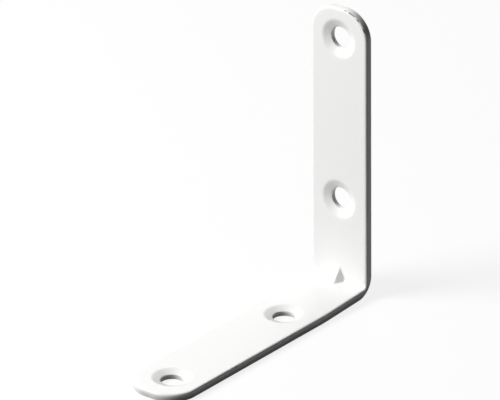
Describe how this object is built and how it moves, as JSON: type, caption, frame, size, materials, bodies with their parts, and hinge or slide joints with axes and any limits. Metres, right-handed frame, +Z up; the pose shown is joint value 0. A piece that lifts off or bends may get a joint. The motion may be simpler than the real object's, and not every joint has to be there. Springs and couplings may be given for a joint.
{
  "type": "angle bracket",
  "caption": "Equal-leg angle bracket of white painted steel strip, with rounded ends, countersunk screw holes and a pressed gusset in the bend",
  "frame": {"origin": "middle of the base leg's footprint, on the plane that the base leg lies on", "axes": "+Z up along the wall leg; +Y out of the wall face, so the base leg points to -Y; X across the strip"},
  "size_m": [0.018, 0.08, 0.08],
  "materials": {
    "white_paint": "satin white paint over pressed steel, pooled slightly in the countersinks and the bend"
  },
  "bodies": {
    "root": {"angle_bracket": "white_paint"}
  },
  "joints": []
}
